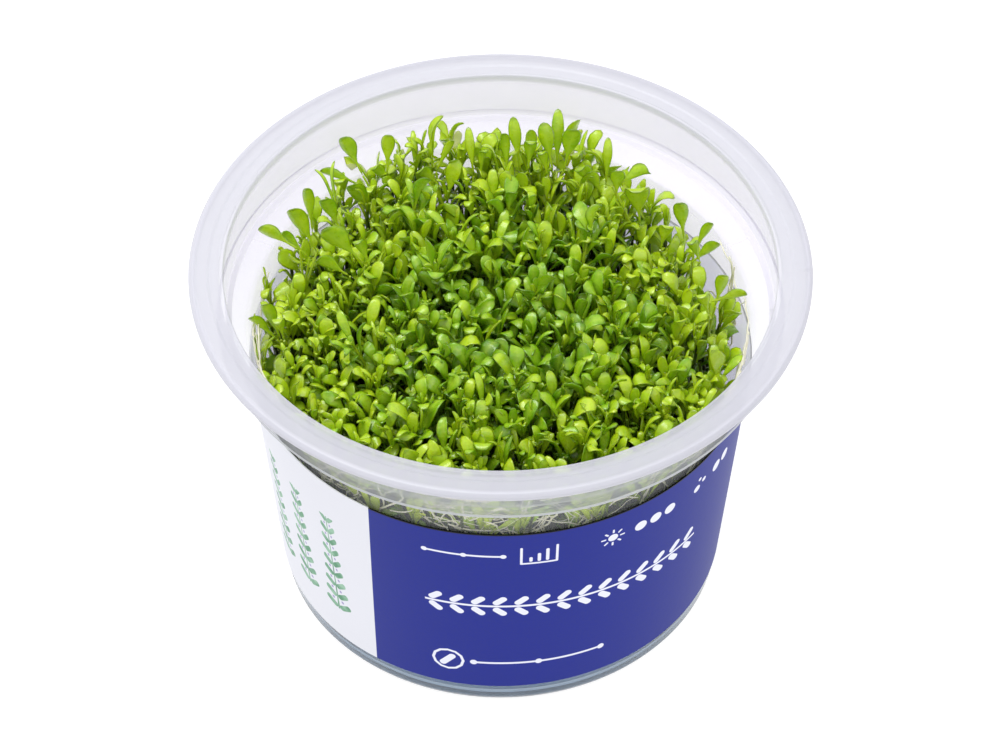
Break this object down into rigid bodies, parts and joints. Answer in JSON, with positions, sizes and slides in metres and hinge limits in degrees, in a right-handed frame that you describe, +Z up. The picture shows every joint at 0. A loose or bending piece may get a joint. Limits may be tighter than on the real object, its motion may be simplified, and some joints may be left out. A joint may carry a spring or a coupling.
{
  "type": "mud mat plant in a tissue culture cup",
  "caption": "Carpeting aquarium plant growing on nutrient gel in a clear wide-rimmed plastic cup with a printed label; small spoon-shaped leaves in a dense mat.",
  "frame": {"origin": "centre of the cup's foot, on the surface that it stands on", "axes": "+Z up out of the cup's mouth, -Y towards the front of the label, +X to the right of the label as it is read"},
  "size_m": [0.101, 0.101, 0.0662],
  "materials": {
    "cup": "injection moulded natural polypropylene, milky and see-through, satin",
    "label": "satin printed label, dark blue with a white panel",
    "gel": "wet, clear to slightly cloudy nutrient gel",
    "roots": "fine wet cream-white roots",
    "stems": "smooth pale yellow-green stems",
    "leaves": "smooth living leaves with a soft gloss"
  },
  "bodies": {
    "root": {"cup": "cup", "label": "label", "leaf_mat": "leaves", "nutrient_gel": "gel", "root_tangle": "roots", "shoot_01": "leaves", "shoot_02": "leaves", "shoot_03": "leaves", "shoot_04": "leaves", "shoot_05": "leaves", "shoot_06": "leaves", "shoot_07": "leaves", "shoot_08": "leaves", "shoot_09": "leaves", "shoot_10": "leaves", "shoot_11": "leaves", "shoot_12": "leaves", "shoot_13": "leaves", "shoot_14": "leaves", "shoot_15": "leaves", "shoot_16": "leaves", "shoot_17": "leaves", "shoot_18": "leaves", "shoot_19": "leaves", "shoot_20": "leaves", "shoot_21": "leaves", "shoot_22": "leaves", "stem_thicket": "stems"}
  },
  "joints": []
}
